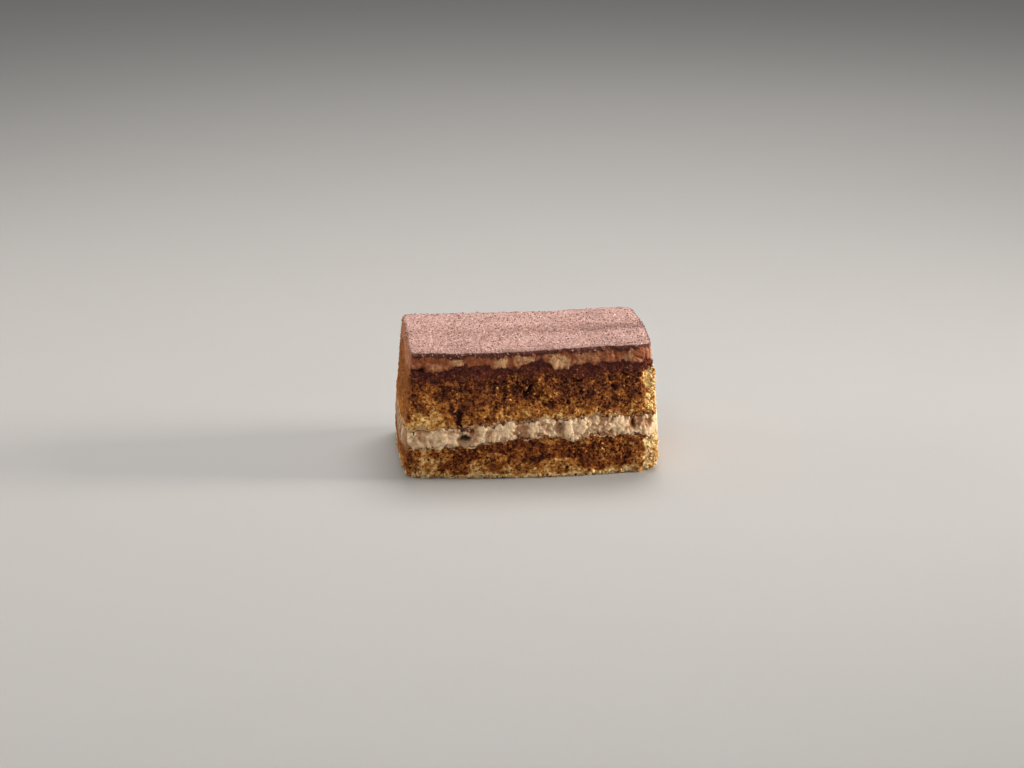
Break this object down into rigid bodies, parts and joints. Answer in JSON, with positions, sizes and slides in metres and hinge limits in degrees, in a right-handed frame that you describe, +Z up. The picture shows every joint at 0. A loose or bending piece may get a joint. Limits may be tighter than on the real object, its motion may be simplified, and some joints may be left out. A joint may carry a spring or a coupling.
{
  "type": "tiramisu portion",
  "caption": "Rectangular cut portion of tiramisu: soaked sponge, mascarpone cream, soaked sponge, a cocoa seam, stained cream and sieved cocoa on top.",
  "frame": {"origin": "middle of the foot, the flat underside that the portion rests on", "axes": "+X along the long side from left to right, +Y from the shown cut face to the back, +Z up"},
  "size_m": [0.087, 0.0594, 0.0439],
  "materials": {
    "sponge_pale": "open baked crumb, dry and matt, soaked with coffee in patches",
    "cream": "soft cream, satin, dragged upright by the knife",
    "sponge_soaked": "open baked crumb, moist with coffee",
    "cocoa_wet": "moist cocoa, matt and grainy",
    "cream_stained": "cream stained brown with coffee, paler in patches, satin",
    "cocoa_dry": "sieved cocoa powder, matt, fine grained, rosy brown"
  },
  "bodies": {
    "root": {"sponge_lower": "sponge_pale", "cream_lower": "cream", "sponge_upper": "sponge_soaked", "cocoa_seam": "cocoa_wet", "cream_upper": "cream_stained", "cocoa_top": "cocoa_dry"}
  },
  "joints": []
}
